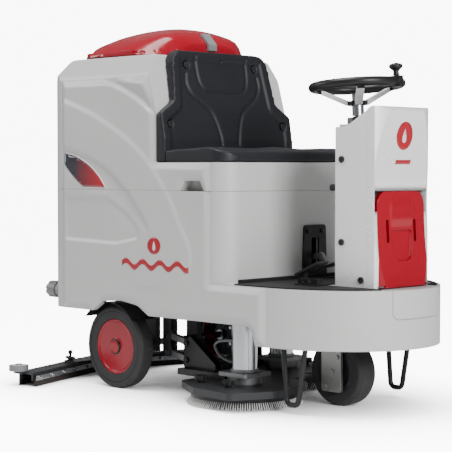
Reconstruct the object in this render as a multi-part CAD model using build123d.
from build123d import *
import math
import os

# Ride-on scrubber: a battery machine that a driver sits on to scrub a hard floor and suck it dry.
# Millimetres. +X points forward, +Y to the driver's left, +Z up, and the floor is Z = 0.
# X is measured from the rear axle while modelling, and every part is moved at the end so that the
# origin is the middle of the whole machine on the floor.

# ---------------------------------------------------------------- driving dimensions
GAP = 0.3                  # room between two pieces that lie against each other
FIT = 0.05                 # radial clearance of a shaft in its bearing

BODY_HALF = 335.0          # half width of the moulded body
BODY_REAR = -338.0         # rearmost bulge of the body
BODY_FRONT = 605.0         # front face under the seat
BODY_BOTTOM = 281.0
BODY_CORNER = 70.0         # vertical corners at the front
BODY_REAR_CORNER = 95.0
SEAM_Z = 722.0             # joint between the lower body and the recovery tank
BODY_WALL = 6.0
BODY_FLOOR_Z = 350.0       # tank floor, over the frame
FLANGE = 36.0              # inward rim on which the recovery tank rests

PLATFORM_TOP = 412.0
SKIRT_BOTTOM = 219.0
NOSE_CENTER_X = 790.0      # the nose is half an ellipse from here
NOSE_LENGTH = 375.0
SKIRT_WALL = 8.0

TANK_TOP = 1202.0
SEAT_BASE_Z = 820.0
SEAT_BACK_X = 262.0        # front of the tall part of the recovery tank
TANK_WALL = 6.0
SHOULDER_EASE = 0.6        # the shoulder's arc runs out this far past the side wall

REAR_WHEEL_D = 301.0
REAR_TYRE_WIDTH = 66.0
REAR_WHEEL_OUTER_Y = 301.0
REAR_DISC_R = 101.0
AXLE_R = 12.5

DRIVE_X = 836.0            # steered and driven wheel under the footboard
DRIVE_WHEEL_D = 228.0
DRIVE_TYRE_WIDTH = 86.0
DRIVE_HUB_R = 76.0
FORK_INNER_Y = 51.0
FORK_PLATE = 12.0
FORK_TOP_Z = 240.0
KINGPIN_R = 22.0

BRUSH_R = 199.0            # over the bristle tips
BRUSH_BLOCK_R = 184.0
NEAR_BRUSH = (565.0, -200.0)
FAR_BRUSH = (368.0, 200.0)
DECK_BOTTOM = 42.0
DECK_TOP = 66.0
DECK_MARGIN = 212.0        # deck rim from each brush axis
MOTOR_R = 44.0
MOTOR_TOP = 286.0

ARM_ROOT_X = 156.0         # chassis pivots of the parallel arms
ARM_LENGTH = 106.0
ARM_TILT = 11.5            # degrees below level when the brushes are down
UPPER_ARM_Z = 196.0
LOWER_ARM_Z = 136.0
ARM_Y = 165.0
PIN_R = 6.0
OPEN_PIVOT = 0.4           # radial room at the upper arms' deck end

COLUMN_HALF = 141.0
COLUMN_REAR = 918.0
PANEL_FRONT = 1048.0
PANEL = 4.0
COLUMN_FRONT = 1105.0

STEER_X = 891.0            # centre of the steering wheel's rim
STEER_Z = 1075.0
STEER_TILT = 4.0           # degrees towards the driver
RIM_R = 147.0
RIM_TUBE_R = 13.0
SHAFT_R = 12.0
JOINT_Z = 880.0            # ball joint between the upper and the lower steering shaft
SPROCKET_SMALL_R = 20.0
SPROCKET_LARGE_R = 36.0
SPROCKET_Z = 334.0

SQUEEGEE_APEX_X = -430.0   # middle of the squeegee body, the furthest back
SQUEEGEE_SLOPE = 0.343     # each half runs forward by this much per unit of width
SQUEEGEE_HALF = 500.0
SQUEEGEE_WIDTH = 74.0
ROLLER_R = 36.0


# ---------------------------------------------------------------- small helpers
def block(x0, x1, y0, y1, z0, z1):
    """A box between six faces."""
    return Pos((x0 + x1) / 2, (y0 + y1) / 2, (z0 + z1) / 2) * Box(x1 - x0, y1 - y0, z1 - z0)


def rod_z(x, y, z0, z1, r):
    return Pos(x, y, (z0 + z1) / 2) * Cylinder(r, z1 - z0)


def rod_y(x, z, y0, y1, r):
    return Pos(x, (y0 + y1) / 2, z) * Rot(90, 0, 0) * Cylinder(r, y1 - y0)


def rod_x(y, z, x0, x1, r):
    return Pos((x0 + x1) / 2, y, z) * Rot(0, 90, 0) * Cylinder(r, x1 - x0)


def outline(*corners):
    """A closed face through corners (a, b, radius), each rounded with its own radius."""
    count = len(corners)
    starts, middles, ends = [], [], []
    for index, (a, b, radius) in enumerate(corners):
        here = Vector(a, b)
        back = (Vector(*corners[index - 1][:2]) - here).normalized()
        ahead = (Vector(*corners[(index + 1) % count][:2]) - here).normalized()
        if radius == 0:
            starts.append(here)
            middles.append(None)
            ends.append(here)
            continue
        half = math.radians(back.get_angle(ahead)) / 2
        reach = radius / math.tan(half)
        inward = (back + ahead).normalized()
        starts.append(here + back * reach)
        middles.append(here + inward * (radius / math.sin(half) - radius))
        ends.append(here + ahead * reach)
    edges = []
    for index in range(count):
        if middles[index] is not None:
            edges.append(ThreePointArc(starts[index], middles[index], ends[index]))
        following = starts[(index + 1) % count]
        if (following - ends[index]).length > 1e-6:
            edges.append(Line(ends[index], following))
    return make_face(Curve() + edges)


def plan(face, z0, z1):
    """Extrude a face drawn in X and Y."""
    return extrude(Plane.XY.offset(z0) * face, amount=z1 - z0)


def side(face, y0, y1):
    """Extrude a face drawn in X and Z."""
    return extrude(Plane.XZ.offset(-y1) * face, amount=y1 - y0)


def front(face, x0, x1):
    """Extrude a face drawn in Y and Z."""
    return extrude(Plane.YZ.offset(x0) * face, amount=x1 - x0)


def both_sides(piece):
    """The piece and its mirror image across the machine's middle plane."""
    return piece + mirror(piece, about=Plane.XZ)


def tilted(x, y, z):
    """A place on the steering axis frame: origin at the rim's centre, Z along the tilted shaft."""
    return Pos(STEER_X, 0, STEER_Z) * Rot(0, -STEER_TILT, 0) * Pos(x, y, z)


# ---------------------------------------------------------------- moulded body
def body_plan(inset):
    half = BODY_HALF - inset
    rear = BODY_REAR + inset
    ahead = BODY_FRONT - inset
    rear_r = BODY_REAR_CORNER - inset
    front_r = BODY_CORNER - inset
    return outline((rear, -half, rear_r), (ahead, -half, front_r), (ahead, half, front_r), (rear, half, rear_r))


def nose_plan(inset, rear_x):
    half = BODY_HALF - inset
    length = NOSE_LENGTH - inset
    nose = EllipticalCenterArc((NOSE_CENTER_X, 0), length, half, start_angle=-90, arc_size=180)
    start = nose @ 0
    end = nose @ 1
    low = Vector(rear_x, start.Y)
    high = Vector(rear_x, end.Y)
    return make_face(Curve() + [nose, Line(end, high), Line(high, low), Line(low, start)])


def lower_side_profile(inset):
    """The rear waists in twice and bulges twice; the bottom rises over the rear wheels."""
    return outline(
        (-312 + inset, SEAM_Z, 0), (-317 + inset, 640, 40), (-337 + inset, 590, 15), (-338 + inset, 522, 10),
        (-308 + inset, 500, 10), (-312 + inset, 400, 15), (-338 + inset, 362, 12), (-334 + inset, 325, 12),
        (-290 + inset, BODY_BOTTOM, 14), (-75, BODY_BOTTOM, 20), (-18, 318, 30), (80, 326, 60),
        (170, 314, 60), (225, BODY_BOTTOM, 20), (BODY_FRONT, BODY_BOTTOM, 0), (BODY_FRONT, SEAM_Z, 0))


def lower_body():
    outer = plan(body_plan(0), BODY_BOTTOM, SEAM_Z) & side(lower_side_profile(0), -BODY_HALF, BODY_HALF)
    hollow = plan(body_plan(BODY_WALL), BODY_FLOOR_Z + BODY_WALL, SEAM_Z - BODY_WALL)
    hollow = hollow & side(lower_side_profile(BODY_WALL + 24), -BODY_HALF, BODY_HALF)
    under = plan(body_plan(BODY_WALL + 14), BODY_BOTTOM - 1, BODY_FLOOR_Z)
    mouth = plan(body_plan(FLANGE), SEAM_Z - BODY_WALL - 1, SEAM_Z + 1)
    body = outer - hollow - under - mouth
    ahead = BODY_FRONT - BODY_CORNER - 20
    skirt = plan(nose_plan(0, ahead), SKIRT_BOTTOM, PLATFORM_TOP)
    rear_x = BODY_FRONT - BODY_WALL
    skirt_void = plan(nose_plan(SKIRT_WALL, rear_x), SKIRT_BOTTOM - 1, PLATFORM_TOP - SKIRT_WALL)
    # the skirt's lower rear end steps up to the body's bottom edge round the brush motors
    relief = side(outline((ahead - 5, SKIRT_BOTTOM - 5, 0), (742, SKIRT_BOTTOM - 5, 0),
                          (722, BODY_BOTTOM, 28), (ahead - 5, BODY_BOTTOM, 0)), -BODY_HALF - 5, BODY_HALF + 5)
    under_half = BODY_HALF - BODY_WALL - 14
    behind = block(ahead - 25, BODY_FRONT + 1, -under_half, under_half, SKIRT_BOTTOM - 5, BODY_FLOOR_Z)
    inside = block(ahead - 5, rear_x, -BODY_HALF + 40, BODY_HALF - 40, BODY_FLOOR_Z + BODY_WALL, PLATFORM_TOP + 5)
    body = body + (skirt - skirt_void - relief - inside) - behind
    lever_slot = block(BODY_FRONT - 40, BODY_FRONT + 2, LEVER_Y - 19, LEVER_Y + 19, 440, 562)
    shaft_hole = rod_z(LOWER_SHAFT_X, 0, PLATFORM_TOP - 20, PLATFORM_TOP + 1, SHAFT_R + 10)
    patch_seat = nose_patch_seat()
    body = body + drain_spigot()
    drain_bore = rod_x(DRAIN_Y, DRAIN_Z, -353, -270, 14)
    return body - lever_slot - shaft_hole - patch_seat - drain_bore


def nose_patch_face(grow):
    """Outline of the removable cap in the middle of the nose, from the platform down."""
    return front(outline((-118 - grow, 318 - grow, 22), (118 + grow, 318 - grow, 22),
                         (118 + grow, PLATFORM_TOP + 2, 0), (-118 - grow, PLATFORM_TOP + 2, 0)), 1060, 1200)


def nose_patch_seat():
    return (nose_patch_face(0.8) & plan(nose_plan(-2, 1000), 300, PLATFORM_TOP + 3)
            ) - plan(nose_plan(5.5, 900), 299, PLATFORM_TOP + 4)


def nose_patch():
    return (nose_patch_face(0) & plan(nose_plan(0, 1000), 300, PLATFORM_TOP)
            ) - plan(nose_plan(4.7, 900), 299, PLATFORM_TOP + 4)


def platform_mat():
    """Ribbed rubber mat with a raised lip where it meets the body."""
    top = PLATFORM_TOP + GAP
    mat = plan(nose_plan(12, BODY_FRONT + GAP + 2), top, top + 4)
    lip = block(BODY_FRONT + GAP + 2, BODY_FRONT + 26, -BODY_HALF + 30, BODY_HALF - 30, top + 4, top + 14)
    column_foot = block(LOWER_SHAFT_X - 50, 1200, -COLUMN_HALF - 2, COLUMN_HALF + 2, top - 1, top + 20)
    bracket = block(BODY_FRONT, BODY_FRONT + 12, LEVER_Y - 70, LEVER_Y + 70, top - 1, top + 20)
    rear_corners = both_sides(block(BODY_FRONT, BODY_FRONT + 30, BODY_HALF - 60, BODY_HALF, top - 1, top + 20))
    return mat + lip - column_foot - bracket - rear_corners


# ---------------------------------------------------------------- recovery tank, lid, seat
def tank_side_profile(inset):
    back = SEAT_BACK_X - inset
    ahead = BODY_FRONT + 5     # past the front face, which the plan view cuts
    return outline(
        (-311 + inset, SEAM_Z + GAP + inset, 0), (ahead, SEAM_Z + GAP + inset, 0),
        (ahead, SEAT_BASE_Z - inset, 0), (back, SEAT_BASE_Z - inset, 6),
        (back, 1000, 40), (206 - inset, TANK_TOP - inset, 14), (-232 + inset, TANK_TOP - inset, 30),
        (-310 + inset, 1112, 30), (-303 + inset, 1060, 40), (-303 + inset, 960, 60),
        (-330 + inset, 880, 40), (-338 + inset, 800, 60))


def tank_front_profile(inset):
    half = BODY_HALF - inset + SHOULDER_EASE
    top = TANK_TOP - inset
    return outline((-half, SEAM_Z - 5, 0), (half, SEAM_Z - 5, 0), (half, 1128, 60), (half - 40.6, top, 26),
                   (-half + 40.6, top, 26), (-half, 1128, 60))


def tank_mouth_plan(grow):
    return outline((-190 - grow, -225 - grow, 60), (140 + grow, -225 - grow, 60),
                   (140 + grow, 225 + grow, 60), (-190 - grow, 225 + grow, 60))


def tank_solid(inset):
    shape = side(tank_side_profile(inset), -BODY_HALF - 2, BODY_HALF + 2) & plan(body_plan(inset), 700, 1300)
    return shape & front(tank_front_profile(inset), -400, 700)


def recovery_tank():
    tank = tank_solid(0) - tank_solid(TANK_WALL)
    tank = tank - plan(tank_mouth_plan(0), TANK_TOP - 10, TANK_TOP + 10)
    notch = outline((392, SEAM_Z - 5, 0), (506, SEAM_Z - 5, 0), (486, 757, 12), (412, 757, 12))
    for sign in (-1, 1):
        outer_y = sign * (BODY_HALF + 1)
        inner_y = sign * (BODY_HALF - TANK_WALL - 30)
        pocket = side(notch, min(outer_y, inner_y), max(outer_y, inner_y))
        wall_y = sign * (BODY_HALF - TANK_WALL - 36)
        liner = side(outline((380, SEAM_Z + GAP, 0), (518, SEAM_Z + GAP, 0), (494, 764, 14), (404, 764, 14)),
                     min(sign * (BODY_HALF - 2), wall_y), max(sign * (BODY_HALF - 2), wall_y))
        tank = tank + (liner & tank_solid(1)) - pocket
    inlet = rod_x(0, INLET_Z, -370, -294, INLET_R) + rod_x(0, INLET_Z, -332, -294, INLET_R + 10)
    inlet = inlet - tank_solid(TANK_WALL)
    return tank + inlet + lid_hinge_lugs() - rod_x(0, INLET_Z, -371, -280, INLET_R - 4)


INLET_Z = 905.0            # suction hose socket on the tank's back
INLET_R = 24.0


def lid_plan(inset):
    rear = -230 + inset
    ahead = LID_FRONT - inset
    return outline((rear, -286 + inset, 95 - inset), (120, -268 + inset, 120), (ahead, -160 + inset, 50),
                   (ahead, 160 - inset, 50), (120, 268 - inset, 120), (rear, 286 - inset, 95 - inset))


def lid_dome(drop):
    """The crowned top: a long curve from back to front crossed by a rounder one from side to side."""
    long_curve = make_face(Curve() + [
        ThreePointArc((-236, 1204), (-100, 1296 - drop), (60, 1314 - drop)),
        ThreePointArc((60, 1314 - drop), (150, 1292 - drop), (206, 1238 - drop)),
        Line((206, 1238 - drop), (206, 1190)), Line((206, 1190), (-236, 1190)), Line((-236, 1190), (-236, 1204))])
    cross_curve = make_face(Curve() + [
        ThreePointArc((-292, 1204 - drop), (0, 1318 - drop), (292, 1204 - drop)),
        Line((292, 1204 - drop), (292, 1180)), Line((292, 1180), (-292, 1180)), Line((-292, 1180), (-292, 1204 - drop))])
    return side(long_curve, -300, 300) & front(cross_curve, -300, 300)


def tank_lid():
    bottom = TANK_TOP + LID_SEAL + GAP
    outer = plan(lid_plan(0), bottom, 1400) & lid_dome(0)
    inner = plan(lid_plan(5), bottom - 1, 1400) & lid_dome(6)
    x, z = LID_HINGE
    lug = block(x - 6, x + 12, -42, 42, z - 3, z + 6) + rod_y(x, z, -42, 42, 7)
    return outer - inner + lug - rod_y(x, z, -70, 70, 4 + FIT)


def lid_hinge_lugs():
    """Two lugs moulded on the tank's back, for the lid's hinge pin."""
    x, z = LID_HINGE
    shape = outline((x - 9, z + 8, 7), (x + 9, z + 8, 7), (x + 14, z - 50, 0), (x - 40, z - 50, 0))
    return both_sides(side(shape, 44, 58)) - tank_solid(TANK_WALL) - rod_y(x, z, -70, 70, 4 + 0.02)


def lid_hinge_pin():
    x, z = LID_HINGE
    return rod_y(x, z, -60, 60, 4)


LID_SEAL = 3.0             # height of the soft seal between the tank and its lid
LID_FRONT = 200.0
LID_HINGE = (-240.0, 1207.0)


def lid_seal():
    low = TANK_TOP + GAP / 2
    return plan(tank_mouth_plan(16), low, low + LID_SEAL) - plan(tank_mouth_plan(4), low - 1, low + LID_SEAL + 1)


def lid_latch():
    """Grey rubber strap that hooks the lid down to the top of the backrest."""
    strap = side(outline((190, 1226, 0), (212, 1226, 4), (212, 1250, 8), (170, 1296, 6), (160, 1280, 0)), -20, 20)
    return strap - lid_outside(0) - (Pos(GAP, 0, GAP) * lid_outside(0))


def lid_latch_clips():
    clip = side(outline((190, 1226, 0), (210, 1226, 3), (210, 1244, 3), (190, 1250, 0)), 24, 46)
    clip = clip - lid_outside(0) - (Pos(GAP, 0, GAP) * lid_outside(0))
    return both_sides(clip)


def lid_outside(inset):
    return plan(lid_plan(inset), TANK_TOP + LID_SEAL + GAP, 1400) & lid_dome(inset)


FLOAT_Y = -248.0


def float_basket():
    """Slatted cage with the float that shuts the suction when the tank is full."""
    top = TANK_TOP - TANK_WALL - GAP
    cage = rod_z(0, FLOAT_Y, top - 130, top, 22) - rod_z(0, FLOAT_Y, top - 127, top - 4, 19)
    return cage - block(-30, 30, FLOAT_Y - 5, FLOAT_Y + 5, top - 118, top - 20)


def float_ball():
    return Pos(0, FLOAT_Y, TANK_TOP - TANK_WALL - GAP - 127 + 17.3) * Sphere(17)


def suction_motor():
    """Vacuum motor, hung in the tank's own dry chamber under the seat."""
    base = rod_z(430, 0, SEAM_Z + GAP + TANK_WALL + GAP, SEAM_Z + 60, 72)
    return base + rod_z(430, 0, SEAM_Z + 60, SEAT_BASE_Z - TANK_WALL - 1, 58)


def seat_cushion():
    low = SEAT_BASE_Z + GAP
    outer = outline((SEAT_BACK_X + 46, low, 8), (BODY_FRONT - 4, low, 8), (BODY_FRONT - 4, 852, 22),
                    (520, 872, 60), (SEAT_BACK_X + 46, 862, 8))
    return side(outer, -BODY_HALF + 4, BODY_HALF - 4) & plan(
        outline((SEAT_BACK_X + 40, -331, 8), (BODY_FRONT - 4, -331, 66), (BODY_FRONT - 4, 331, 66),
                (SEAT_BACK_X + 40, 331, 8)), 800, 900)


def backrest():
    rear = SEAT_BACK_X + GAP
    shape = outline((rear, SEAT_BASE_Z + GAP, 8), (SEAT_BACK_X + 45, SEAT_BASE_Z + GAP, 4), (306, 900, 60),
                    (290, 992, 60), (246, 1216, 16), (208, 1222, 6), (206.6, TANK_TOP, 0), (rear + 1, 1002, 42))
    face = outline((-331, SEAT_BASE_Z, 6), (331, SEAT_BASE_Z, 6), (333, 990, 14), (262, 1034, 18),
                   (238, 1226, 52), (-238, 1226, 52), (-262, 1034, 18), (-333, 990, 14))
    back = side(shape, -BODY_HALF, BODY_HALF) & front(face, 180, 340)
    return back - backrest_bolt_holes()


BACK_BOLTS = ((175, 1167), (290, 955))


def backrest_bolt_places():
    return [(sign * y, z) for y, z in BACK_BOLTS for sign in (-1, 1)]


def backrest_bolt_holes():
    holes = [rod_x(y, z, back_face_x(z) - 12, 330, 12) for y, z in backrest_bolt_places()]
    return holes[0] + holes[1] + holes[2] + holes[3]


def back_face_x(z):
    """Front face of the backrest at a height."""
    return 255.0 if z > 1000 else 296.0


def backrest_bolts():
    heads = []
    for y, z in backrest_bolt_places():
        seat = back_face_x(z) - 12 + GAP
        heads.append(rod_x(y, z, seat, seat + 8, 10) - rod_x(y, z, seat + 4, seat + 9, 4.5))
    return heads[0] + heads[1] + heads[2] + heads[3]


# ---------------------------------------------------------------- chassis
def main_frame():
    """Welded steel frame: two rails, cross members, axle and arm brackets, and the front plate."""
    top = BODY_FLOOR_Z - GAP
    rails = both_sides(block(-250, 700, 92, 122, 302, top))
    cross = block(-250, -220, -122, 122, 302, top) + block(40, 70, -122, 122, 302, top)
    plate = block(660, 1080, -190, 190, 302, 314)
    ears = both_sides(block(-30, 30, 96, 118, AXLE_Z - 30, 303))
    ears = ears - rod_y(0, AXLE_Z, -130, 130, AXLE_R + 0.02)
    arm_bar = block(130, 182, -190, 190, 302, top)
    arm_ears = []
    for y in (ARM_Y - 20, ARM_Y + 12):
        arm_ears.append(block(138, 174, y, y + 8, LOWER_ARM_Z - 16, 303))
    arm_ears = both_sides(arm_ears[0] + arm_ears[1])
    for z in (UPPER_ARM_Z, LOWER_ARM_Z):
        arm_ears = arm_ears - rod_y(ARM_ROOT_X, z, -200, 200, PIN_R + 0.02)
    frame = rails + cross + plate + ears + arm_bar + arm_ears
    frame = frame - rod_z(DRIVE_X, 0, 290, 330, KINGPIN_R + 12)
    frame = frame - rod_z(LOWER_SHAFT_X, 0, 290, 330, SHAFT_R + 10)
    lift_ears = both_sides(block(-214, -170, 30, 38, LIFT_Z - 16, 303)) + block(-220, -150, -122, 122, 302, top)
    lift_ears = lift_ears - rod_y(LIFT_X, LIFT_Z, -60, 60, PIN_R + 0.02)
    return frame + lift_ears


AXLE_Z = REAR_WHEEL_D / 2
LIFT_X = -192.0            # pivot about which the squeegee is lifted
LIFT_Z = 150.0
LEVER_Y = 110.0            # foot lever in its slotted plate
DRAIN_Y = -270.0
DRAIN_Z = 338.0
LOWER_SHAFT_X = STEER_X + (STEER_Z - JOINT_Z) * math.tan(math.radians(STEER_TILT))


def rear_axle():
    end = REAR_WHEEL_OUTER_Y - 14
    return rod_y(0, AXLE_Z, -end, end, AXLE_R)


def rear_wheel_pieces(sign):
    """Tyre, disc, bearing and centre cap of one rear wheel, made on the left and mirrored."""
    out = REAR_WHEEL_OUTER_Y
    inn = out - REAR_TYRE_WIDTH
    tyre_face = outline((REAR_DISC_R, inn + 6, 4), (REAR_WHEEL_D / 2 - 10, inn, 10), (REAR_WHEEL_D / 2, inn + 9, 8),
                        (REAR_WHEEL_D / 2, out - 9, 8), (REAR_WHEEL_D / 2 - 10, out, 10), (REAR_DISC_R, out - 6, 4))
    tyre = Pos(0, 0, AXLE_Z) * revolve(tyre_face, Axis.Y)
    rim = REAR_DISC_R - GAP
    disc_face = outline((25, out - 44, 0), (40, out - 44, 2), (40, out - 20, 4), (rim - 12, out - 20, 4),
                        (rim - 12, inn + 10, 2), (rim, inn + 10, 2), (rim, out - 8, 3), (rim - 8, out - 8, 3),
                        (rim - 12, out - 13, 3), (34, out - 13, 3), (32, out - 10, 2), (25, out - 10, 0))
    disc = Pos(0, 0, AXLE_Z) * revolve(disc_face, Axis.Y)
    ring = outline((AXLE_R + FIT, out - 44, 0), (25 - FIT, out - 44, 0), (25 - FIT, out - 24, 0), (AXLE_R + FIT, out - 24, 0))
    bearing = Pos(0, 0, AXLE_Z) * revolve(ring, Axis.Y)
    cap_face = outline((0, out - 13, 0), (25 - FIT, out - 13, 0), (25 - FIT, out - 4, 3), (14, out - 3, 2), (0, out - 3, 0))
    cap = Pos(0, 0, AXLE_Z) * revolve(cap_face, Axis.Y)
    pieces = [tyre, disc, bearing, cap]
    if sign < 0:
        pieces = [mirror(piece, about=Plane.XZ) for piece in pieces]
    return pieces


def wheel_collars():
    """Rings that keep the wheels from sliding inward on the axle."""
    inn = REAR_WHEEL_OUTER_Y - 44
    ring = rod_y(0, AXLE_Z, inn - 11, inn - 1, 20) - rod_y(0, AXLE_Z, inn - 12, inn, AXLE_R + 0.02)
    return both_sides(ring)


# ---------------------------------------------------------------- drive unit
def drive_fork():
    out = FORK_INNER_Y + FORK_PLATE
    centre_z = DRIVE_WHEEL_D / 2
    plate = side(outline((DRIVE_X - 43, 50, 10), (DRIVE_X + 41, 50, 10), (DRIVE_X + 41, FORK_TOP_Z + 1, 0),
                         (DRIVE_X - 43, FORK_TOP_Z + 1, 0)), FORK_INNER_Y, out)
    plates = both_sides(plate)
    top = plan(outline((DRIVE_X - 43, -out, 12), (DRIVE_X + 41, -out, 12), (DRIVE_X + 41, out, 12),
                       (DRIVE_X - 43, out, 12)), FORK_TOP_Z, FORK_TOP_Z + 14)
    boss = rod_z(DRIVE_X, 0, FORK_TOP_Z + 13, 296, KINGPIN_R + 8)
    kingpin = rod_z(DRIVE_X, 0, 295, SPROCKET_Z - GAP, KINGPIN_R)
    stub = rod_z(DRIVE_X, 0, SPROCKET_Z - GAP - 0.5, SPROCKET_Z + 12, 14)
    fork = plates + top + boss + kingpin + stub
    bore = rod_y(DRIVE_X, centre_z, -out - 1, out + 1, 14 + 0.02)
    holes = None
    for dx, z in FORK_BOLTS:
        hole = rod_y(DRIVE_X + dx, z, -out - 1, out + 1, 5)
        holes = hole if holes is None else holes + hole
    return fork - bore - holes


FORK_BOLTS = ((26, 168), (-27, 68))


def fork_bolts():
    out = FORK_INNER_Y + FORK_PLATE
    bolts = None
    for dx, z in FORK_BOLTS:
        bolt = rod_y(DRIVE_X + dx, z, out + GAP, out + 6, 8)
        bolt = bolt + rod_y(DRIVE_X + dx, z, FORK_INNER_Y + 2, out + GAP + 0.1, 5 - FIT)
        bolts = bolt if bolts is None else bolts + bolt
    return both_sides(bolts)


def drive_axle():
    end = FORK_INNER_Y + FORK_PLATE + 6
    return rod_y(DRIVE_X, DRIVE_WHEEL_D / 2, -end, end, 14)


def drive_hub():
    """Hub motor drum that carries the tyre."""
    half = DRIVE_TYRE_WIDTH / 2
    drum = rod_y(DRIVE_X, DRIVE_WHEEL_D / 2, -half + 4, half - 4, DRIVE_HUB_R - GAP)
    dish = rod_y(DRIVE_X, DRIVE_WHEEL_D / 2, -half + 3, -half + 12, 58) - rod_y(
        DRIVE_X, DRIVE_WHEEL_D / 2, -half + 2, -half + 13, 26)
    boss = both_sides(rod_y(DRIVE_X, DRIVE_WHEEL_D / 2, half - 5, FORK_INNER_Y - 1, 24))
    hub = drum + boss - dish - mirror(dish, about=Plane.XZ)
    return hub - rod_y(DRIVE_X, DRIVE_WHEEL_D / 2, -80, 80, 14 + FIT)


def drive_tyre():
    half = DRIVE_TYRE_WIDTH / 2
    outer = DRIVE_WHEEL_D / 2
    face = outline((DRIVE_HUB_R, -half + 2, 2), (outer - 12, -half, 10), (outer, -half + 12, 12),
                   (outer, half - 12, 12), (outer - 12, half, 10), (DRIVE_HUB_R, half - 2, 2))
    return Pos(DRIVE_X, 0, outer) * revolve(face, Axis.Y)


def steering_bearing():
    low, high = 297, 326
    return (rod_z(DRIVE_X, 0, low, high, KINGPIN_R + 12 - FIT) + rod_z(DRIVE_X, 0, 314 + GAP, high, KINGPIN_R + 19)
            ) - rod_z(DRIVE_X, 0, low - 1, high + 1, KINGPIN_R + FIT)


def sprocket(x, pitch_r, bore_r, teeth):
    wheel = rod_z(x, 0, SPROCKET_Z, SPROCKET_Z + 8, pitch_r)
    for index in range(teeth):
        angle = 360 / teeth * index
        gullet = Pos(x, 0, 0) * Rot(0, 0, angle) * Pos(-x, 0, 0) * rod_z(
            x + pitch_r + 1, 0, SPROCKET_Z - 1, SPROCKET_Z + 9, 2.6)
        wheel = wheel - gullet
    return wheel - rod_z(x, 0, SPROCKET_Z - 1, SPROCKET_Z + 9, bore_r)


def steering_chain():
    """Closed chain round both sprockets, drawn as one flat band."""
    middle = (SPROCKET_Z + 2.5, SPROCKET_Z + 5.5)
    reach = LOWER_SHAFT_X - DRIVE_X

    def loop(extra):
        big = SPROCKET_LARGE_R + extra
        small = SPROCKET_SMALL_R + extra
        lean = math.asin((big - small) / reach)
        up = Vector(math.sin(lean), math.cos(lean))
        down = Vector(math.sin(lean), -math.cos(lean))
        a = Vector(DRIVE_X, 0)
        b = Vector(LOWER_SHAFT_X, 0)
        return make_face(Curve() + [
            ThreePointArc(a + up * big, a + Vector(-big, 0), a + down * big), Line(a + down * big, b + down * small),
            ThreePointArc(b + down * small, b + Vector(small, 0), b + up * small), Line(b + up * small, a + up * big)])
    return plan(loop(5.5), *middle) - plan(loop(0.6), middle[0] - 1, middle[1] + 1)


# ---------------------------------------------------------------- steering column
def column_panel(sign):
    """One folded sheet side of the steering column."""
    shape = outline((COLUMN_REAR, PLATFORM_TOP + GAP, 6), (PANEL_FRONT, PLATFORM_TOP + GAP, 0), (PANEL_FRONT, 985, 0),
                    (962, 935, 14), (COLUMN_REAR, 935, 4))
    inner = COLUMN_HALF - PANEL
    low, high = (inner, COLUMN_HALF) if sign > 0 else (-COLUMN_HALF, -inner)
    panel = side(shape, low, high)
    for x, z in COLUMN_SCREWS:
        panel = panel - rod_y(x, z, -160, 160, 5)
    return panel


COLUMN_SCREWS = ((946, 829), (946, 560), (1028, 440))
KNOB_Y = -126.0
KNOB_Z = 737.0


def column_screws():
    screws = None
    for x, z in COLUMN_SCREWS:
        screw = rod_y(x, z, COLUMN_HALF + GAP, COLUMN_HALF + 5, 11) - rod_y(x, z, COLUMN_HALF + 2, COLUMN_HALF + 6, 5.5)
        screw = screw + rod_y(x, z, COLUMN_HALF - 12, COLUMN_HALF + GAP + 0.1, 5 - FIT)
        screw = screw + rod_y(x, z, COLUMN_HALF + 1, COLUMN_HALF + 3.5, 4)
        screws = screw if screws is None else screws + screw
    return both_sides(screws)


def column_rear_cover():
    """Channel behind the column that guides the steering shaft down to the platform."""
    half = 62
    top = 946
    rear = LOWER_SHAFT_X - 44
    outer = plan(outline((rear, -half, 14), (COLUMN_REAR + 3, -half, 0), (COLUMN_REAR + 3, half, 0), (rear, half, 14)),
                 PLATFORM_TOP + GAP, top)
    hollow = block(rear + 4, COLUMN_REAR + 4, -half + 4, half - 4, PLATFORM_TOP, top - 4)
    flanges = both_sides(block(COLUMN_REAR, COLUMN_REAR + 3, half - 1, COLUMN_HALF - PANEL - GAP,
                               PLATFORM_TOP + GAP, 930))
    cover = outer - hollow + flanges
    cover = cover - rod_x(KNOB_Y, KNOB_Z, COLUMN_REAR - 5, COLUMN_REAR + 30, 5)
    return cover - (tilted(0, 0, -130) * Cylinder(SHAFT_R + 6, 80))


def front_edge_profile(inset):
    """Side view of the column's front: hollowed in the middle, domed on top."""
    x = COLUMN_FRONT - inset
    return make_face(Curve() + [
        Line((PANEL_FRONT + GAP, PLATFORM_TOP + GAP), (x - 2, PLATFORM_TOP + GAP)),
        ThreePointArc((x - 2, PLATFORM_TOP + GAP), (x - 26, 760), (x, 988 - inset)),
        ThreePointArc((x, 988 - inset), (x - 30, 1000 - inset), (PANEL_FRONT + GAP, 986 - inset)),
        Line((PANEL_FRONT + GAP, 986 - inset), (PANEL_FRONT + GAP, PLATFORM_TOP + GAP))])


def column_plan(inset):
    half = COLUMN_HALF - inset
    return make_face(Curve() + [
        Line((PANEL_FRONT, -half), (COLUMN_FRONT - 24, -half)),
        ThreePointArc((COLUMN_FRONT - 24, -half), (COLUMN_FRONT + 14 - inset, 0), (COLUMN_FRONT - 24, half)),
        Line((COLUMN_FRONT - 24, half), (PANEL_FRONT, half)), Line((PANEL_FRONT, half), (PANEL_FRONT, -half))])


def cover_region(grow):
    return front(outline((-127 - grow, PLATFORM_TOP - 2, 0), (127 + grow, PLATFORM_TOP - 2, 0),
                         (122 + grow, 704 + grow, 44), (-122 - grow, 704 + grow, 44)), 1000, 1200)


def column_solid(inset):
    return side(front_edge_profile(inset), -COLUMN_HALF, COLUMN_HALF) & plan(column_plan(inset), 400, 1100)


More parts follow.
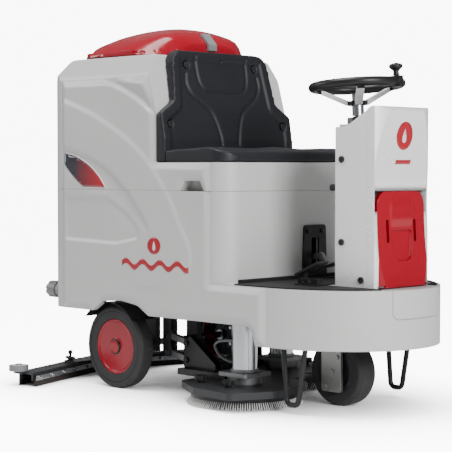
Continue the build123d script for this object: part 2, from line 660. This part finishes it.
def column_front_shell():
    shell = column_solid(0) - (Pos(-6, 0, -6) * column_solid(5)) - block(
        PANEL_FRONT, PANEL_FRONT + 30, -COLUMN_HALF + 5, COLUMN_HALF - 5, 400, 978)
    return shell - cover_region(0.8) - rod_y(*COVER_HINGE, -136, 136, 2.5 + 0.02)


def front_cover():
    """Red cover over the front bay, with a hand recess and two finger slots."""
    solid = column_solid(0) - (Pos(-14, 0, 0) * column_solid(0))
    cover = solid & cover_region(0)
    cover = cover - block(1000, 1200, -200, 200, 400, PLATFORM_TOP + 4)
    recess = front(outline((-58, 600, 14), (-44, 500, 26), (44, 500, 26), (58, 600, 14)), 1000, 1200)
    shallow = recess & (column_solid(-1) - (Pos(-7, 0, 0) * column_solid(0)))
    slots = both_sides(front(outline((64, 560, 5), (78, 560, 5), (78, 632, 5), (64, 632, 5)), 1000, 1200))
    return cover - shallow - slots - rod_y(*COVER_HINGE, -136, 136, 2.5 + FIT)


COVER_HINGE = (1097.0, 421.0)


def cover_hinge_pins():
    return both_sides(rod_y(*COVER_HINGE, 112, 134, 2.5))


def dashboard():
    """Sloping instrument panel between the column's sides."""
    inner = COLUMN_HALF - PANEL - GAP
    shape = outline((COLUMN_REAR + 4, 926, 0), (962, 926, 14), (PANEL_FRONT - 1, 974, 0), (PANEL_FRONT - 1, 979, 0),
                    (961, 931, 12), (COLUMN_REAR + 4, 931, 0))
    panel = side(shape, -inner, inner)
    panel = panel - rod_z(BUTTON_X, BUTTON_Y, 900, 1000, 9) - rod_z(BUTTON_X, -BUTTON_Y, 900, 1000, 9)
    return panel - block(DISPLAY_X0, DISPLAY_X0 + 46, -40, 40, 900, 1000)


BUTTON_X = 940.0
BUTTON_Y = 92.0
DISPLAY_X0 = 982.0


def display_unit():
    slope = math.degrees(math.atan2(48, 86))
    unit = Box(44, 79, 14)
    return Pos(DISPLAY_X0 + 23, 0, 961) * Rot(0, -slope, 0) * unit & block(
        DISPLAY_X0 + GAP, DISPLAY_X0 + 46 - GAP, -40 + GAP, 40 - GAP, 900, 1000)


def emergency_button():
    return rod_z(BUTTON_X, BUTTON_Y, 939, 951, 17) + rod_z(BUTTON_X, BUTTON_Y, 915, 940, 9 - FIT)


def key_switch():
    return (rod_z(BUTTON_X, -BUTTON_Y, 931 + GAP, 937, 14) + rod_z(BUTTON_X, -BUTTON_Y, 905, 932, 9 - FIT)
            ) - rod_z(BUTTON_X, -BUTTON_Y, 921, 938, 4.5)


def ignition_key():
    blade = block(BUTTON_X - 4, BUTTON_X + 4, -BUTTON_Y - 1, -BUTTON_Y + 1, 923, 946)
    return blade + block(BUTTON_X - 11, BUTTON_X + 11, -BUTTON_Y - 2.5, -BUTTON_Y + 2.5, 945, 966)


def water_knob():
    knob = rod_x(KNOB_Y, KNOB_Z, COLUMN_REAR - 28, COLUMN_REAR - 4, 11)
    return knob + rod_x(KNOB_Y, KNOB_Z, COLUMN_REAR - 5, COLUMN_REAR + 22, 5 - FIT)


# ---------------------------------------------------------------- steering wheel
SPOKE_ANGLES = (-45, 75, 195)
HUB_END = 100.0            # underside of the hub, below the rim's plane


def steering_rim():
    return tilted(0, 0, 0) * Torus(RIM_R, RIM_TUBE_R)


def steering_spokes():
    """Three pressed spokes, dished down to the hub."""
    spokes = None
    for angle in SPOKE_ANGLES:
        bar = side(outline((20, -64, 2), (34, -64, 8), (RIM_R - 12, -15, 2), (RIM_R - 12, -4, 2), (30, -52, 8), (20, -52, 2)),
                   -11, 11)
        bar = Rot(0, 0, angle) * bar
        spokes = bar if spokes is None else spokes + bar
    ring = Pos(0, 0, -58) * Cylinder(26, 12) - Pos(0, 0, -58) * Cylinder(SHAFT_R + 2, 14)
    return tilted(0, 0, 0) * (spokes + ring)


def steering_hub():
    body = Pos(0, 0, -39) * Cylinder(19, 24) + Pos(0, 0, -82.5) * Cylinder(20, 35)
    neck = Pos(0, 0, -58) * Cylinder(SHAFT_R + 2 - FIT, 30)
    return tilted(0, 0, 0) * (body + neck)


def upper_shaft():
    length = (STEER_Z - JOINT_Z) / math.cos(math.radians(STEER_TILT))
    rod = Pos(0, 0, -(HUB_END + GAP + length) / 2) * Cylinder(SHAFT_R, length - HUB_END - GAP)
    ball = Pos(0, 0, -length) * Sphere(15)
    return tilted(0, 0, 0) * (rod + ball)


def lower_shaft():
    cup = rod_z(LOWER_SHAFT_X, 0, JOINT_Z - 28, JOINT_Z, 20) - Pos(LOWER_SHAFT_X, 0, JOINT_Z) * Sphere(15 + FIT)
    rod = rod_z(LOWER_SHAFT_X, 0, SPROCKET_Z - 6, JOINT_Z - 27, SHAFT_R)
    return cup + rod + rod_z(LOWER_SHAFT_X, 0, 304, SPROCKET_Z - 5, 9)


def shaft_bearing():
    """Lower bearing of the steering shaft, held by the front plate."""
    low = 303
    ring = rod_z(LOWER_SHAFT_X, 0, low, 327 - 0.5, SHAFT_R + 10 - FIT) + rod_z(LOWER_SHAFT_X, 0, 314 + GAP, 326.5, SHAFT_R + 14)
    return ring - rod_z(LOWER_SHAFT_X, 0, low - 1, 330, 9 + FIT)


def shaft_boot():
    ring = None
    for index in range(6):
        fold = Pos(0, 0, -HUB_END - 5.5 - index * 5) * Cylinder(20 + index * 1.5, 5)
        ring = fold if ring is None else ring + fold
    return tilted(0, 0, 0) * (ring - Pos(0, 0, -125) * Cylinder(SHAFT_R + 1, 60)) & block(
        700, 1100, -100, 100, 946 + GAP, 1000)


KNOB_ANGLE = 11.5


def knob_place():
    turn = math.radians(KNOB_ANGLE)
    return RIM_R * math.cos(turn), RIM_R * math.sin(turn)


def spinner_clamp():
    x, y = knob_place()
    clamp = Pos(x, y, 0) * Rot(0, 0, KNOB_ANGLE) * (Box(34, 26, 34) - Rot(90, 0, 0) * Cylinder(RIM_TUBE_R + GAP, 40))
    clamp = clamp - Torus(RIM_R, RIM_TUBE_R + GAP)
    pin = Pos(x, y, 29) * Cylinder(5, 26)
    return tilted(0, 0, 0) * (clamp + pin)


def spinner_knob():
    x, y = knob_place()
    profile = outline((0, 20, 0), (11, 20, 2), (9, 34, 6), (23, 46, 8), (23, 56, 8), (0, 62, 0))
    ball = revolve(Plane.XZ * profile, Axis.Z)
    ball = ball - Pos(0, 0, 31) * Cylinder(5 + FIT, 24)
    return tilted(0, 0, 0) * Pos(x, y, 0) * ball


# ---------------------------------------------------------------- pedals
def lever_plate():
    """Slotted black plate on the body's front that guides the foot lever."""
    shape = outline((LEVER_Y - 64, 419, 4), (LEVER_Y + 64, 419, 4), (LEVER_Y + 56, 600, 12), (LEVER_Y - 56, 600, 12))
    plate = front(shape, BODY_FRONT + GAP, BODY_FRONT + 8)
    slot = front(outline((LEVER_Y - 20, 446, 6), (LEVER_Y + 20, 446, 6), (LEVER_Y + 20, 556, 6), (LEVER_Y - 20, 556, 6)),
                 BODY_FRONT - 1, BODY_FRONT + 20)
    return plate - slot


def lever_plate_bolts():
    bolt = rod_x(LEVER_Y - 38, 578, BODY_FRONT + 8 + GAP, BODY_FRONT + 15, 8)
    return bolt + (Pos(0, 76, 0) * bolt)


LEVER_PIVOT = (572.0, 475.0)


def lift_lever():
    """Bent flat arm on a boss, with a treadle at its end, that raises and lowers the brushes."""
    x, z = LEVER_PIVOT
    boss = rod_y(x, z, LEVER_Y - 12, LEVER_Y + 12, 14)
    arm = side(outline((x + 4, z - 10, 0), (640, 486, 10), (664, 457, 2), (678, 466, 4), (644, 506, 14), (x + 4, z + 12, 0)),
               LEVER_Y - 7, LEVER_Y + 7)
    return boss + arm - rod_y(x, z, LEVER_Y - 20, LEVER_Y + 20, PIN_R + FIT)


def lever_treadle():
    pad = side(outline((650, 449, 3), (722, 470, 3), (719, 478, 3), (678, 470, 3), (669, 461, 1), (648, 455, 3)),
               LEVER_Y - 40, LEVER_Y + 40)
    return pad


def lever_bracket():
    """Bearing block inside the front wall that carries the lever's pin."""
    x, z = LEVER_PIVOT
    cheek = block(x - 18, BODY_FRONT - BODY_WALL - GAP, LEVER_Y + 20, LEVER_Y + 28, z - 18, z + 18)
    other = block(x - 18, BODY_FRONT - BODY_WALL - GAP, LEVER_Y - 28, LEVER_Y - 20, z - 18, z + 18)
    back = block(x - 24, x - 17, LEVER_Y - 28, LEVER_Y + 28, z - 18, z + 18)
    pin = rod_y(x, z, LEVER_Y - 28, LEVER_Y + 28, PIN_R)
    return cheek + other + back + pin


PEDAL_HINGE = (812.0, PLATFORM_TOP + 23.0)


def pedal_base():
    """Floor plate, two lugs, the pin and the position sensor of the drive pedal."""
    low = PLATFORM_TOP + 4 + 2 * GAP
    x, z = PEDAL_HINGE
    plate = block(800, 896, -206, -152, low, low + 4)
    lugs = block(x - 8, x + 8, -196, -190, low + 3, z + 6) + block(x - 8, x + 8, -168, -162, low + 3, z + 6)
    sensor = block(856, 884, -192, -166, low + 3, low + 20)
    return plate + lugs + rod_y(x, z, -198, -160, 4) + sensor


def drive_pedal():
    """Treadle that the right foot presses to drive, hinged at the heel."""
    x, z = PEDAL_HINGE
    tread = side(outline((x - 10, z + 11, 2), (x + 88, z + 55, 3), (x + 85, z + 62, 3), (x - 13, z + 18, 2)), -208, -150)
    eye = rod_y(x, z, -188, -170, 8) + side(
        outline((x - 8, z, 0), (x + 8, z, 0), (x + 16, z + 24, 0), (x - 4, z + 15, 0)), -188, -170)
    return tread + eye - rod_y(x, z, -199, -160, 4 + FIT)


# ---------------------------------------------------------------- inside the body
def battery_tray():
    low = BODY_FLOOR_Z + BODY_WALL + GAP
    tray = block(-60, 470, -205, 205, low, low + 60) - block(-57, 467, -202, 202, low + 3, low + 61)
    return tray


def batteries():
    """Four traction blocks of six volts."""
    low = BODY_FLOOR_Z + BODY_WALL + GAP + 3 + GAP
    cells = None
    for column in range(2):
        for row in range(2):
            x0 = -52 + column * 260
            y0 = -196 + row * 200
            cell = block(x0, x0 + 250, y0, y0 + 190, low, low + 275)
            cell = cell + rod_z(x0 + 30, y0 + 30, low + 274, low + 290, 9) + rod_z(x0 + 220, y0 + 30, low + 274, low + 290, 9)
            cells = cell if cells is None else cells + cell
    return cells


def control_box():
    low = BODY_FLOOR_Z + BODY_WALL + GAP
    return block(-270, -120, -110, 110, low, low + 70)


def drain_spigot():
    return rod_x(DRAIN_Y, DRAIN_Z, -352, -318, 17) + rod_x(DRAIN_Y, DRAIN_Z, -345, -339, 24)


def drain_cap():
    cap = rod_x(DRAIN_Y, DRAIN_Z, -392, -345 - GAP, 32) - rod_x(DRAIN_Y, DRAIN_Z, -386, -340, 17 + FIT)
    for index in range(8):
        groove = rod_x(DRAIN_Y + 34 * math.cos(index * math.pi / 4), DRAIN_Z + 34 * math.sin(index * math.pi / 4),
                       -393, -345, 5)
        cap = cap - groove
    return cap


HOOP_Y = -272.0


def guard_hoops():
    """Bent rods under the footboard, one each side, that guard the wheel and the brushes."""
    top = PLATFORM_TOP - SKIRT_WALL - GAP
    path = FilletPolyline((806, HOOP_Y, top), (812, HOOP_Y, 200), (826, HOOP_Y, 31), (874, HOOP_Y, 31),
                          (904, HOOP_Y, 210), (908, HOOP_Y, top), radius=[120, 20, 20, 120])
    rod = sweep(Plane(origin=path @ 0, z_dir=path % 0) * Circle(7.5), path=path)
    return both_sides(rod)


# ---------------------------------------------------------------- brush deck
DECK_CORNERS = ((-208, -105, 40), (-60, -192, 60), (133, -214, 24), (212, -50, 70),
                (150, 180, 90), (-90, 205, 90), (-208, 60, 90))


def deck_outline(brush, flip, inset):
    """Seven-cornered cover round one brush; flip mirrors it to the machine's left side."""
    x, y = brush
    corners = []
    for a, b, radius in DECK_CORNERS:
        shrink = 1 - inset / math.hypot(a, b)
        corners.append((x + a * shrink, y + flip * b * shrink, radius - inset))
    return outline(*corners)


def brush_deck():
    """Pressed deck over both brushes, with a turned-down rim."""
    tie = block(330, 600, -110, 110, DECK_TOP - 5, DECK_TOP)
    deck = tie
    for brush, flip in ((NEAR_BRUSH, 1), (FAR_BRUSH, -1)):
        deck = deck + plan(deck_outline(brush, flip, 0), DECK_BOTTOM, DECK_TOP)
    for brush, flip in ((NEAR_BRUSH, 1), (FAR_BRUSH, -1)):
        deck = deck - plan(deck_outline(brush, flip, 6), DECK_BOTTOM - 1, DECK_TOP - 5)
        deck = deck - rod_z(*brush, DECK_TOP - 6, DECK_TOP + 1, 30)
    return deck


def deck_bridge():
    """Raised box section that ties the two halves of the deck and carries the hanger plates."""
    low = DECK_TOP + GAP
    beam = block(246, 292, -214, 214, low, low + BRIDGE_HEIGHT)
    spine = block(246, 484, -214, -150, low, low + BRIDGE_HEIGHT)
    return beam + spine


BRIDGE_HEIGHT = 22.0
PLATE_TIP_X = 404.0


def hanger_plates():
    """Triangular plates that join the deck to the parallel arms: long on the right, short on the left."""
    low = DECK_TOP + 2 * GAP + BRIDGE_HEIGHT
    x, upper = arm_end(UPPER_ARM_Z)
    lower = arm_end(LOWER_ARM_Z)[1]
    long_shape = outline((x - 14, upper + 14, 8), (x + 26, upper + 20, 10), (PLATE_TIP_X, low + 22, 10), (PLATE_TIP_X, low, 0),
                         (x - 14, low, 6))
    short_shape = outline((x - 14, upper + 14, 8), (x + 26, upper + 14, 8), (x + 30, low, 0), (x - 14, low, 6))
    plates = side(long_shape, -ARM_Y - 17, -ARM_Y - 12) + side(long_shape, -ARM_Y + 12, -ARM_Y + 17)
    plates = plates + side(short_shape, ARM_Y + 12, ARM_Y + 17) + side(short_shape, ARM_Y - 17, ARM_Y - 12)
    feet = block(x + 18, PLATE_TIP_X, -ARM_Y - 17, -ARM_Y + 17, low, low + 5) + block(x + 18, x + 30, ARM_Y - 17, ARM_Y + 17, low, low + 5)
    plates = plates + feet
    return plates - rod_y(x, lower, -200, 200, PIN_R + 0.02) - rod_y(x, upper, -200, 200, PIN_R + 0.02)


def arm_end(z_root):
    x = ARM_ROOT_X + ARM_LENGTH * math.cos(math.radians(ARM_TILT))
    return x, z_root - ARM_LENGTH * math.sin(math.radians(ARM_TILT))


def parallel_arms(z_root, end_bore):
    """A pair of flat zinc-plated links between the chassis and the deck."""
    x1, z1 = arm_end(z_root)
    link = None
    for y in (ARM_Y - 11, ARM_Y + 5):
        plate = rod_y(ARM_ROOT_X, z_root, y, y + 6, 15) + rod_y(x1, z1, y, y + 6, 13)
        bar = Pos((ARM_ROOT_X + x1) / 2, y + 3, (z_root + z1) / 2) * Rot(0, ARM_TILT, 0) * Box(ARM_LENGTH, 6, 22)
        plate = plate + bar
        link = plate if link is None else link + plate
    web = Pos((ARM_ROOT_X + x1) / 2, ARM_Y, (z_root + z1) / 2) * Rot(0, ARM_TILT, 0) * Box(40, 12, 14)
    link = link + web
    links = both_sides(link)
    return links - rod_y(ARM_ROOT_X, z_root, -200, 200, PIN_R + FIT) - rod_y(x1, z1, -200, 200, end_bore)


def chassis_pins():
    pins = None
    for z in (UPPER_ARM_Z, LOWER_ARM_Z):
        pin = rod_y(ARM_ROOT_X, z, ARM_Y - 20, ARM_Y + 20, PIN_R) + rod_y(ARM_ROOT_X, z, ARM_Y + 20 + GAP, ARM_Y + 26, 10)
        pin = pin + rod_y(ARM_ROOT_X, z, ARM_Y + 19, ARM_Y + 21, PIN_R)
        pins = pin if pins is None else pins + pin
    return both_sides(pins)


def deck_pins():
    pins = None
    for z in (UPPER_ARM_Z, LOWER_ARM_Z):
        x1, z1 = arm_end(z)
        pin = rod_y(x1, z1, ARM_Y - 17, ARM_Y + 18, PIN_R) + rod_y(x1, z1, ARM_Y + 17 + GAP, ARM_Y + 24, 10)
        pins = pin if pins is None else pins + pin
    return both_sides(pins)


def brush_motor(x, y):
    low = DECK_TOP + 50
    can = rod_z(x, y, low, MOTOR_TOP - 6, MOTOR_R) + rod_z(x, y, MOTOR_TOP - 7, MOTOR_TOP, MOTOR_R - 8)
    return can


def gearbox(x, y):
    """Cast aluminium gearbox flanged to the deck, with the output shaft."""
    low = DECK_TOP + GAP
    plate = plan(outline((x - 66, y - 66, 10), (x + 66, y - 66, 10), (x + 66, y + 66, 10), (x - 66, y + 66, 10)),
                 low + 26, low + 40)
    foot = rod_z(x, y, low, low + 27, 60)
    neck = rod_z(x, y, low + 39, DECK_TOP + 50 - GAP, 48)
    shaft = rod_z(x, y, DECK_BOTTOM - 2, low + 1, 10)
    return plate + foot + neck + shaft


def brush_block(x, y):
    disc = rod_z(x, y, 34, 54, BRUSH_BLOCK_R) + rod_z(x, y, 53, 58, 28)
    rim = rod_z(x, y, 26, 35, BRUSH_BLOCK_R) - rod_z(x, y, 25, 34, 60)
    return disc + rim - rod_z(x, y, DECK_BOTTOM - 8, 59, 10 + FIT)


def bristle_ring(x, y):
    """The bristles as one solid ring that flares to the floor."""
    flare = outline((70, 26 - GAP, 0), (60, 0, 0), (BRUSH_R, 0, 0), (BRUSH_BLOCK_R - 4, 26 - GAP, 0))
    return Pos(x, y, 0) * revolve(Plane.XZ * flare, Axis.Z)


STAR_KNOBS = ((444, -292), (594, -308))


def star_knob(x, y):
    low = DECK_TOP + GAP
    knob = rod_z(x, y, low + 8, low + 24, 22)
    for index in range(5):
        angle = index * 2 * math.pi / 5
        knob = knob - rod_z(x + 27 * math.cos(angle), y + 27 * math.sin(angle), low + 7, low + 25, 9)
    return knob + rod_z(x, y, low, low + 9, 10)


def star_knobs():
    knobs = None
    for x, y in STAR_KNOBS:
        pair = star_knob(x, y) + star_knob(FAR_BRUSH[0] + x - NEAR_BRUSH[0], -y)
        knobs = pair if knobs is None else knobs + pair
    return knobs


HOSE_R = 4.4
HOSE_START = (518.6, -200.0, 206.0)
HOSE_END = (498.0, -147.0, 119.0)
HOSE_FAR_X = 400.0


def deck_hose():
    """Corrugated conduit that loops from the motor's gland back to the junction block on the gearbox."""
    points = [HOSE_START, (HOSE_FAR_X, *HOSE_START[1:]), (HOSE_FAR_X, *HOSE_END[1:]), HOSE_END]
    path = FilletPolyline(*points, radius=bend_radii(points))
    return sweep(Plane(origin=path @ 0, z_dir=path % 0) * Circle(HOSE_R), path=path)


def bend_radii(points):
    """For each corner the largest arc that its two runs leave room for."""
    radii = []
    for before, here, after in zip(points, points[1:], points[2:]):
        back = Vector(*before) - Vector(*here)
        ahead = Vector(*after) - Vector(*here)
        half_turn = math.radians(180 - back.get_angle(ahead)) / 2
        radii.append(0.45 * min(back.length, ahead.length) / math.tan(half_turn))
    print("hose bend radii", [round(radius, 1) for radius in radii])
    return radii


def conduit_fittings():
    """Gland on the motor and junction block on the gearbox plate."""
    x, y, z = HOSE_START
    gland = rod_x(y, z, x + GAP, NEAR_BRUSH[0] - MOTOR_R - GAP + 1.2, 10) - rod_z(*NEAR_BRUSH, z - 20, z + 20, MOTOR_R + GAP)
    x, y, z = HOSE_END
    low = DECK_TOP + GAP + 40 + GAP
    junction = block(x + GAP, x + 28, y - 12, y + 12, low, z + 14)
    return gland + (junction - rod_z(*NEAR_BRUSH, low - 5, z + 20, 48 + GAP))


# ---------------------------------------------------------------- squeegee
def squeegee_band(offset_front, offset_rear, half_width):
    """A V-shaped band across the machine; offsets are measured back from the squeegee's middle line."""
    def x_at(y, offset):
        return SQUEEGEE_APEX_X + SQUEEGEE_SLOPE * abs(y) - offset
    w = half_width
    return outline((x_at(w, offset_front), -w, 0), (x_at(0, offset_front), 0, 60), (x_at(w, offset_front), w, 0),
                   (x_at(w, offset_rear), w, 0), (x_at(0, offset_rear), 0, 60), (x_at(w, offset_rear), -w, 0))


def squeegee_body():
    half = SQUEEGEE_WIDTH / 2
    top = plan(squeegee_band(-half, half, SQUEEGEE_HALF), 44, 52)
    front_lip = plan(squeegee_band(-half, -half + 6, SQUEEGEE_HALF), 22, 45)
    rear_lip = plan(squeegee_band(half - 6, half, SQUEEGEE_HALF), 22, 45)
    ends = both_sides(block(SQUEEGEE_APEX_X + SQUEEGEE_SLOPE * 508 - half - 22, SQUEEGEE_APEX_X + SQUEEGEE_SLOPE * 508 - 10,
                            SQUEEGEE_HALF - 24, SQUEEGEE_HALF + 14, 44, 52))
    body = top + front_lip + rear_lip + ends
    body = body - rod_z(SQUEEGEE_APEX_X, 0, 40, 60, 21)
    for sign in (-1, 1):
        body = body - rod_z(ROLLER_X, sign * ROLLER_Y, 30, 60, 5 + 0.02)
        body = body - rod_z(wing_x(), sign * WING_Y, 40, 60, 5 + FIT)
    return body


ROLLER_Y = 500.0
ROLLER_X = SQUEEGEE_APEX_X + SQUEEGEE_SLOPE * ROLLER_Y - 44
WING_Y = 210.0


def wing_x():
    return SQUEEGEE_APEX_X + SQUEEGEE_SLOPE * WING_Y


def front_blade():
    half = SQUEEGEE_WIDTH / 2
    return plan(squeegee_band(-half - 4.5, -half - GAP, SQUEEGEE_HALF - 10), 0.5, 40)


def rear_blade():
    half = SQUEEGEE_WIDTH / 2
    return plan(squeegee_band(half + GAP, half + 4.5, SQUEEGEE_HALF + 2), 0, 42)


def blade_strips():
    half = SQUEEGEE_WIDTH / 2
    ahead = plan(squeegee_band(-half - 7, -half - 4.5 - GAP, SQUEEGEE_HALF - 16), 22, 40)
    behind = plan(squeegee_band(half + 4.5 + GAP, half + 7, SQUEEGEE_HALF - 4), 22, 40)
    return ahead + behind


def strip_bolts():
    half = SQUEEGEE_WIDTH / 2
    bolts = None
    for index in range(6):
        y = 60 + index * 80
        x = SQUEEGEE_APEX_X + SQUEEGEE_SLOPE * y + half + 7
        bolt = rod_x(y, 31, x + GAP + 1.8, x + 9, 5)
        bolts = bolt if bolts is None else bolts + bolt
    return both_sides(bolts)


def bumper_roller(sign):
    return rod_z(ROLLER_X, sign * ROLLER_Y, 52 + GAP + 1, 74, ROLLER_R) - rod_z(ROLLER_X, sign * ROLLER_Y, 50, 80, 5 + FIT)


def roller_pins():
    pin = rod_z(ROLLER_X, ROLLER_Y, 43, 76, 5) + rod_z(ROLLER_X, ROLLER_Y, 75, 79, 12)
    return both_sides(pin)


def squeegee_bridge():
    """Black bracket that hangs the squeegee from its arm, clamped by the wing knobs."""
    low = 52 + GAP
    bar = plan(outline((-372, -WING_Y - 22, 10), (-300, -WING_Y - 22, 10), (-300, -60, 0), (-300, 60, 0),
                       (-300, WING_Y + 22, 10), (-372, WING_Y + 22, 10), (-400, 60, 10), (-400, -60, 10)), low, low + 8)
    tower = block(-396, -306, -48, 48, low + 7, low + 60)
    tower = tower - block(-397, -380, -30, 30, low + 7, low + 61)
    for sign in (-1, 1):
        bar = bar - rod_z(wing_x(), sign * WING_Y, 40, 80, 5 + FIT)
    bracket = bar + tower
    return bracket - rod_z(SWING_X, 0, 40, 200, 10 + FIT)


SWING_X = -330.0


def wing_knob(sign):
    low = 60 + 2 * GAP
    x = wing_x()
    y = sign * WING_Y
    knob = rod_z(x, y, low, low + 8, 11) + block(x - 24, x + 24, y - 4, y + 4, low + 4, low + 14)
    knob = knob + rod_z(x, y, low + 13, low + 24, 5) + Pos(x, y, low + 30) * Sphere(9)
    return knob + rod_z(x, y, 45, low + 1, 5)


def squeegee_arm():
    """Lifting arm: a fork on the chassis pivot at one end and the swing pin at the other."""
    tube = Pos((LIFT_X + SWING_X) / 2, 0, 141) * Box(LIFT_X - SWING_X, 40, 24)
    boss = rod_y(LIFT_X, LIFT_Z, -29, 29, 16)
    head = rod_z(SWING_X, 0, 112 + 2 * GAP + 1, 154, 24)
    pin = rod_z(SWING_X, 0, 56, 130, 10)
    return tube + boss + head + pin - rod_y(LIFT_X, LIFT_Z, -60, 60, PIN_R + FIT)


def lift_pin():
    return rod_y(LIFT_X, LIFT_Z, -42, 42, PIN_R)


def suction_spigot():
    """Tube on the squeegee's middle that takes the suction hose."""
    pipe = rod_z(SQUEEGEE_APEX_X, 0, 44, 110, 21 - FIT) - rod_z(SQUEEGEE_APEX_X, 0, 43, 111, 17)
    collar = rod_z(SQUEEGEE_APEX_X, 0, 52 + GAP, 60, 27) - rod_z(SQUEEGEE_APEX_X, 0, 43, 111, 17)
    return pipe + collar


def tank_hinges():
    """Two external hinges on the left edge about which the recovery tank tips."""
    leaves = None
    for x in (0, 400):
        leaf = block(x - 40, x + 40, BODY_HALF + GAP, BODY_HALF + 4, SEAM_Z - 60, SEAM_Z - 8)
        knuckle = rod_x(HINGE_Y, SEAM_Z, x - 40, x - 14, 7) + rod_x(HINGE_Y, SEAM_Z, x + 14, x + 40, 7)
        tie = block(x - 40, x - 14, BODY_HALF + GAP, BODY_HALF + 4, SEAM_Z - 9, SEAM_Z - 2)
        tie = tie + block(x + 14, x + 40, BODY_HALF + GAP, BODY_HALF + 4, SEAM_Z - 9, SEAM_Z - 2)
        pin = rod_x(HINGE_Y, SEAM_Z, x - 42, x + 42, 3)
        piece = leaf + knuckle + tie + pin
        leaves = piece if leaves is None else leaves + piece
    return leaves


HINGE_Y = BODY_HALF + 7.5


def tank_hinge_leaves():
    leaves = None
    for x in (0, 400):
        leaf = block(x - 13, x + 13, BODY_HALF + GAP, BODY_HALF + 4, SEAM_Z + 2, SEAM_Z + 60)
        knuckle = rod_x(HINGE_Y, SEAM_Z, x - 13, x + 13, 7) - rod_x(HINGE_Y, SEAM_Z, x - 20, x + 20, 3 + FIT)
        leaf = leaf + block(x - 35, x + 35, BODY_HALF + GAP, BODY_HALF + 4, SEAM_Z + 20, SEAM_Z + 60)
        piece = leaf + knuckle - rod_x(HINGE_Y, SEAM_Z, x - 20, x + 20, 3 + FIT)
        leaves = piece if leaves is None else leaves + piece
    return leaves


# ---------------------------------------------------------------- the parts
def group(*pieces):
    """Separate solids that share one node."""
    solids = []
    for piece in pieces:
        solids.extend(piece.solids())
    return Compound(solids)


def all_parts():
    """Node name to shape, in machine coordinates with X from the rear axle."""
    left_tyre, left_disc, left_bearing, left_cap = rear_wheel_pieces(1)
    right_tyre, right_disc, right_bearing, right_cap = rear_wheel_pieces(-1)
    return {
        "main_frame": main_frame(),
        "lower_body": lower_body(),
        "nose_patch": nose_patch(),
        "platform_mat": platform_mat(),
        "rear_axle": group(rear_axle(), wheel_collars()),
        "pins_and_bearings": group(chassis_pins(), lift_pin(), cover_hinge_pins(), steering_bearing(),
                                   shaft_bearing(), tank_hinges()),
        "steering_chain": steering_chain(),
        "column_panels": group(column_panel(-1), column_panel(1)),
        "column_rear_cover": column_rear_cover(),
        "column_front_shell": column_front_shell(),
        "dashboard": group(dashboard(), display_unit(), key_switch()),
        "shaft_boot": shaft_boot(),
        "pedal_brackets": group(lever_plate(), lever_bracket(), pedal_base()),
        "machine_screws": group(column_screws(), lever_plate_bolts()),
        "guard_hoops": guard_hoops(),
        "power_pack": group(battery_tray(), batteries(), control_box()),
        "right_tyre": right_tyre,
        "left_tyre": left_tyre,
        "right_wheel_disc": group(right_disc, right_bearing, right_cap),
        "left_wheel_disc": group(left_disc, left_bearing, left_cap),
        "front_cover": front_cover(),
        "emergency_button": emergency_button(),
        "ignition_key": ignition_key(),
        "water_knob": water_knob(),
        "drive_pedal": drive_pedal(),
        "lift_lever": lift_lever() + lever_treadle(),
        "drain_cap": drain_cap(),
        "steering_wheel": group(steering_rim() + steering_spokes(), spinner_clamp()),
        "steering_hub": group(steering_hub(), upper_shaft()),
        "spinner_knob": spinner_knob(),
        "lower_steering_shaft": lower_shaft() + sprocket(LOWER_SHAFT_X, SPROCKET_SMALL_R, SHAFT_R - 1, 11),
        "drive_fork": group(drive_fork() + sprocket(DRIVE_X, SPROCKET_LARGE_R, 13, 20), fork_bolts(), drive_axle()),
        "drive_wheel_hub": drive_hub(),
        "drive_wheel_tyre": drive_tyre(),
        "lower_arms": parallel_arms(LOWER_ARM_Z, PIN_R + FIT),
        "upper_arms": parallel_arms(UPPER_ARM_Z, PIN_R + OPEN_PIVOT),
        "brush_deck": brush_deck(),
        "hanger_plates": group(hanger_plates(), deck_bridge(), deck_pins()),
        "brush_motors": group(brush_motor(*NEAR_BRUSH), brush_motor(*FAR_BRUSH)),
        "gearboxes": group(gearbox(*NEAR_BRUSH), gearbox(*FAR_BRUSH), conduit_fittings()),
        "star_knobs": star_knobs(),
        "deck_conduit": deck_hose(),
        "right_brush": group(brush_block(*NEAR_BRUSH), bristle_ring(*NEAR_BRUSH)),
        "left_brush": group(brush_block(*FAR_BRUSH), bristle_ring(*FAR_BRUSH)),
        "squeegee_arm": squeegee_arm(),
        "squeegee_body": group(squeegee_body(), suction_spigot()),
        "squeegee_blades": group(front_blade(), rear_blade()),
        "squeegee_strips": group(blade_strips(), strip_bolts(), roller_pins()),
        "squeegee_bridge": squeegee_bridge(),
        "right_roller": bumper_roller(-1),
        "left_roller": bumper_roller(1),
        "right_wing_knob": wing_knob(-1),
        "left_wing_knob": wing_knob(1),
        "recovery_tank": group(recovery_tank(), lid_hinge_pin(), tank_hinge_leaves()),
        "tank_internals": group(suction_motor(), float_basket(), float_ball(), lid_seal()),
        "seat_cushion": seat_cushion(),
        "backrest": backrest(),
        "backrest_bolts": backrest_bolts(),
        "tank_lid": group(tank_lid(), lid_latch_clips()),
        "lid_latch": lid_latch(),
    }


def write_parts():
    """Move everything so that the origin is the middle of the whole machine on the floor, and export."""
    parts = all_parts()
    boxes = [piece.bounding_box() for piece in parts.values()]
    middle = (min(box.min.X for box in boxes) + max(box.max.X for box in boxes)) / 2
    os.makedirs("parts", exist_ok=True)
    for name, piece in parts.items():
        export_step(Pos(-middle, 0, 0) * piece, "parts/" + name + ".step")
    print(len(parts), "parts, moved back by", round(middle, 3))


write_parts()
